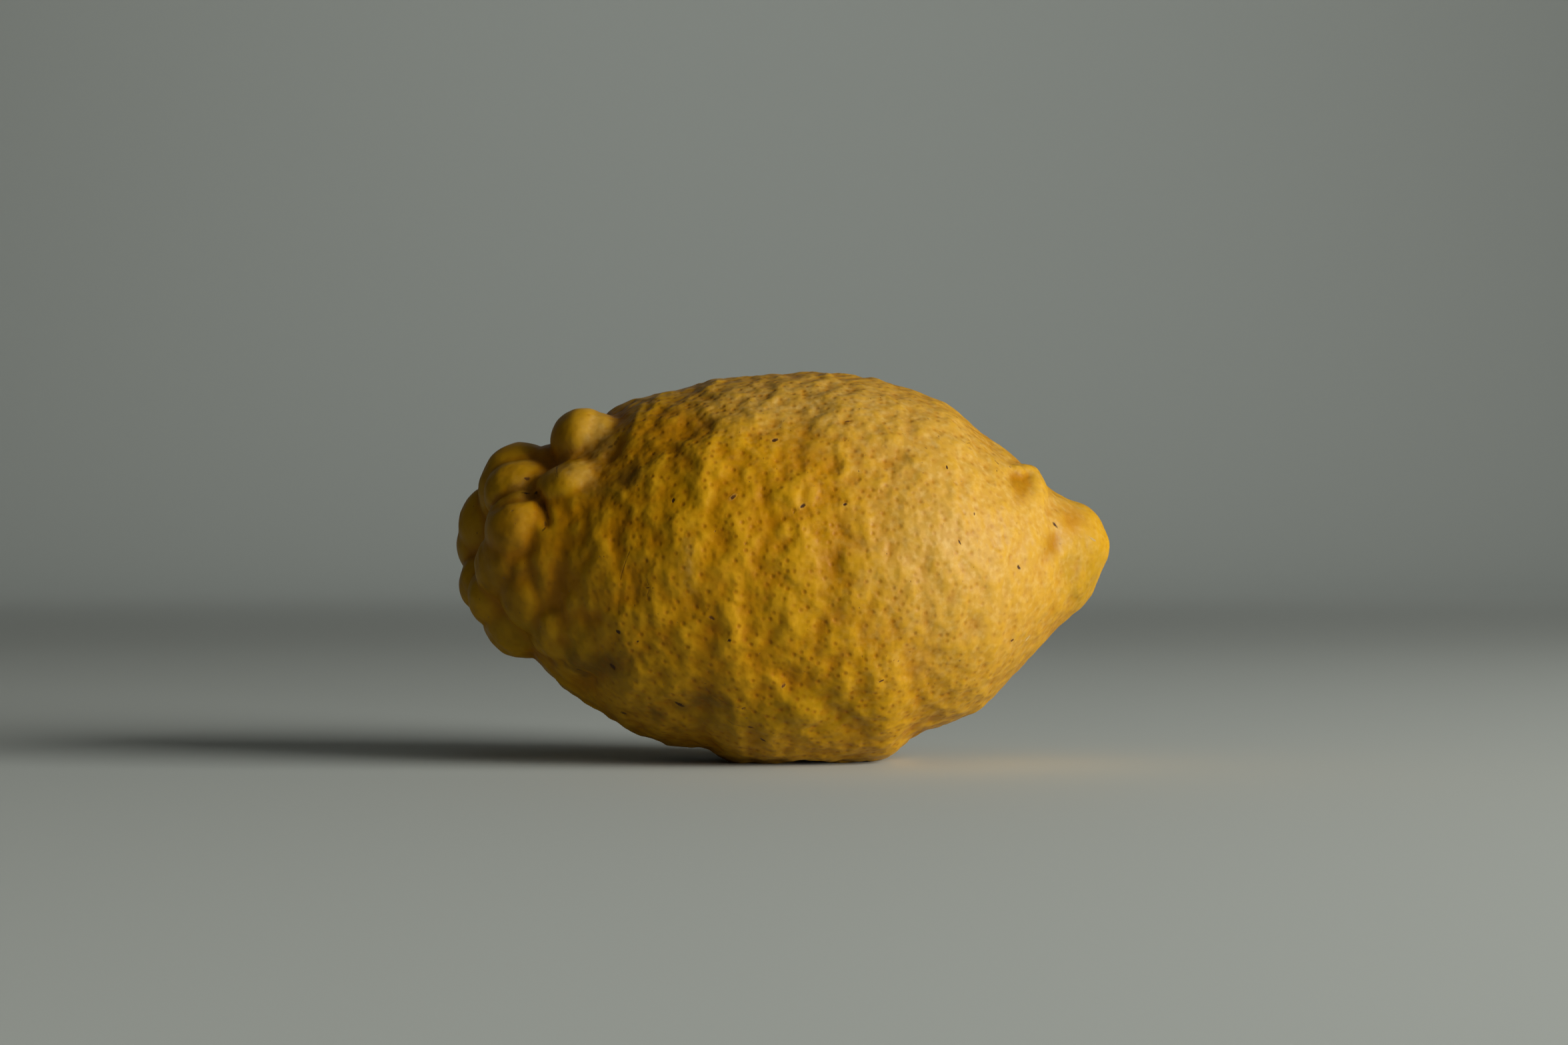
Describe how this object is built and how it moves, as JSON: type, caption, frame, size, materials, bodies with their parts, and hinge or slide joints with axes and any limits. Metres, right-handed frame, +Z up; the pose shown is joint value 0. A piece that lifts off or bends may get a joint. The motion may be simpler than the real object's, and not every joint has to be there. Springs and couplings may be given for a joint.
{
  "type": "citron",
  "caption": "Whole ripe citron lying on its side, with a lumpy thick rind, a collar of lobes round the stem end and a blunt nipple.",
  "frame": {"origin": "on the surface that the fruit lies on, under the middle of its bounding box", "axes": "+X from the lobed stem end to the nipple, +Z up, +Y away from the side that the picture shows"},
  "size_m": [0.1212, 0.0756, 0.0716],
  "materials": {
    "rind": "waxy, pitted, soft gloss"
  },
  "bodies": {
    "root": {"citron": "rind"}
  },
  "joints": []
}
